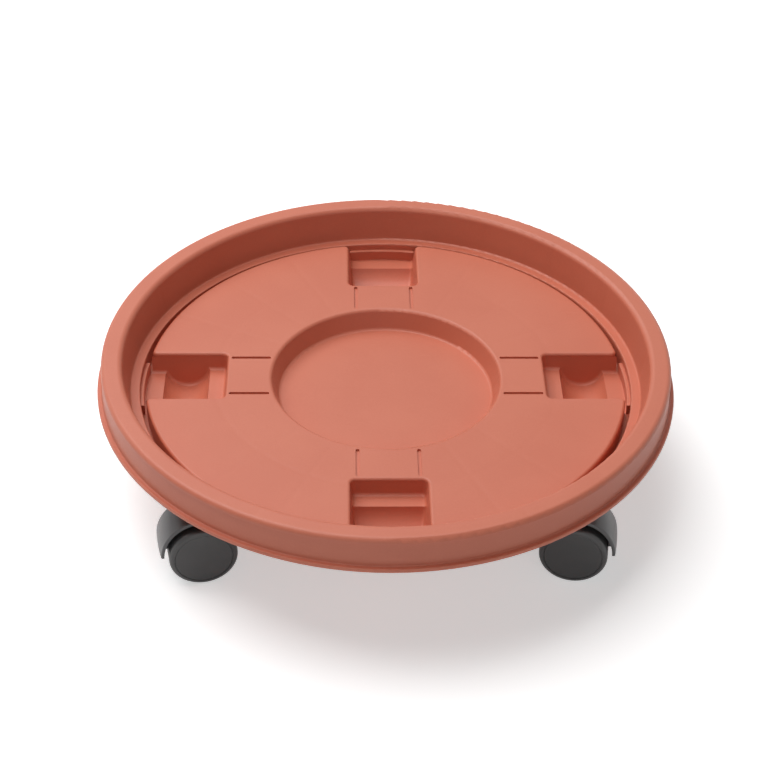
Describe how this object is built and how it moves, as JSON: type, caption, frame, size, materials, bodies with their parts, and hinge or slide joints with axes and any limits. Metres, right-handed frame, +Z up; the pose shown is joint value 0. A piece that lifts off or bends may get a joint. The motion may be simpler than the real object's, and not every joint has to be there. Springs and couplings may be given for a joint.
{
  "type": "plant caddy",
  "caption": "Round plant caddy: a low moulded tray with a raised rim, a middle recess and edge pockets, rolling on twin-wheel swivel casters.",
  "frame": {"origin": "on the floor under the tray's axis, at the bottom centre of the bounding box", "axes": "+Z up along the tray's axis, -Y towards the front of the caddy, +X to the viewer's right"},
  "size_m": [0.35, 0.35, 0.088],
  "materials": {
    "tray_plastic": "terracotta polypropylene, fine matte moulded texture",
    "wheel_plastic": "black moulded nylon, satin",
    "cap_plastic": "black moulded nylon, satin",
    "housing_plastic": "black moulded nylon, smooth satin",
    "socket_plastic": "dark moulded plastic",
    "steel": "zinc-plated turned steel",
    "spring_steel": "plain spring steel"
  },
  "bodies": {
    "tray_body": {"tray": "tray_plastic", "front_left_socket": "socket_plastic", "front_left_stem": "steel", "front_left_grip_ring": "spring_steel", "front_right_socket": "socket_plastic", "front_right_stem": "steel", "front_right_grip_ring": "spring_steel", "rear_left_socket": "socket_plastic", "rear_left_stem": "steel", "rear_left_grip_ring": "spring_steel", "rear_right_socket": "socket_plastic", "rear_right_stem": "steel", "rear_right_grip_ring": "spring_steel"},
    "front_left_swivel_body": {"front_left_housing": "housing_plastic", "front_left_axle": "steel"},
    "front_left_near_wheel_body": {"front_left_near_wheel": "wheel_plastic", "front_left_near_cap": "cap_plastic"},
    "front_left_far_wheel_body": {"front_left_far_wheel": "wheel_plastic", "front_left_far_cap": "cap_plastic"},
    "front_right_swivel_body": {"front_right_housing": "housing_plastic", "front_right_axle": "steel"},
    "front_right_near_wheel_body": {"front_right_near_wheel": "wheel_plastic", "front_right_near_cap": "cap_plastic"},
    "front_right_far_wheel_body": {"front_right_far_wheel": "wheel_plastic", "front_right_far_cap": "cap_plastic"},
    "rear_left_swivel_body": {"rear_left_housing": "housing_plastic", "rear_left_axle": "steel"},
    "rear_left_near_wheel_body": {"rear_left_near_wheel": "wheel_plastic", "rear_left_near_cap": "cap_plastic"},
    "rear_left_far_wheel_body": {"rear_left_far_wheel": "wheel_plastic", "rear_left_far_cap": "cap_plastic"},
    "rear_right_swivel_body": {"rear_right_housing": "housing_plastic", "rear_right_axle": "steel"},
    "rear_right_near_wheel_body": {"rear_right_near_wheel": "wheel_plastic", "rear_right_near_cap": "cap_plastic"},
    "rear_right_far_wheel_body": {"rear_right_far_wheel": "wheel_plastic", "rear_right_far_cap": "cap_plastic"}
  },
  "joints": [
    {"name": "front_left_swivel", "type": "hinge", "parent": "tray_body", "child": "front_left_swivel_body", "pos_m": [-0.09263, -0.09263, 0.0497], "axis": [0, 0, 1], "continuous": true},
    {"name": "front_left_near_wheel_spin", "type": "hinge", "parent": "front_left_swivel_body", "child": "front_left_near_wheel_body", "pos_m": [-0.10766, -0.10624, 0.02], "axis": [0.1959, -0.9806, 0], "continuous": true},
    {"name": "front_left_far_wheel_spin", "type": "hinge", "parent": "front_left_swivel_body", "child": "front_left_far_wheel_body", "pos_m": [-0.11173, -0.08584, 0.02], "axis": [0.1959, -0.9806, 0], "continuous": true},
    {"name": "front_right_swivel", "type": "hinge", "parent": "tray_body", "child": "front_right_swivel_body", "pos_m": [0.09263, -0.09263, 0.0497], "axis": [0, 0, 1], "continuous": true},
    {"name": "front_right_near_wheel_spin", "type": "hinge", "parent": "front_right_swivel_body", "child": "front_right_near_wheel_body", "pos_m": [0.10814, -0.10568, 0.02], "axis": [0.1599, 0.9871, 0], "continuous": true},
    {"name": "front_right_far_wheel_spin", "type": "hinge", "parent": "front_right_swivel_body", "child": "front_right_far_wheel_body", "pos_m": [0.11147, -0.08515, 0.02], "axis": [0.1599, 0.9871, 0], "continuous": true},
    {"name": "rear_left_swivel", "type": "hinge", "parent": "tray_body", "child": "rear_left_swivel_body", "pos_m": [-0.09263, 0.09263, 0.0497], "axis": [0, 0, 1], "continuous": true},
    {"name": "rear_left_near_wheel_spin", "type": "hinge", "parent": "rear_left_swivel_body", "child": "rear_left_near_wheel_body", "pos_m": [-0.11144, 0.08508, 0.02], "axis": [-0.1564, -0.9877, 0], "continuous": true},
    {"name": "rear_left_far_wheel_spin", "type": "hinge", "parent": "rear_left_swivel_body", "child": "rear_left_far_wheel_body", "pos_m": [-0.10819, 0.10562, 0.02], "axis": [-0.1564, -0.9877, 0], "continuous": true},
    {"name": "rear_right_swivel", "type": "hinge", "parent": "tray_body", "child": "rear_right_swivel_body", "pos_m": [0.09263, 0.09263, 0.0497], "axis": [0, 0, 1], "continuous": true},
    {"name": "rear_right_near_wheel_spin", "type": "hinge", "parent": "rear_right_swivel_body", "child": "rear_right_near_wheel_body", "pos_m": [0.11181, 0.08608, 0.02], "axis": [-0.2079, 0.9781, 0], "continuous": true},
    {"name": "rear_right_far_wheel_spin", "type": "hinge", "parent": "rear_right_swivel_body", "child": "rear_right_far_wheel_body", "pos_m": [0.10749, 0.10642, 0.02], "axis": [-0.2079, 0.9781, 0], "continuous": true}
  ]
}
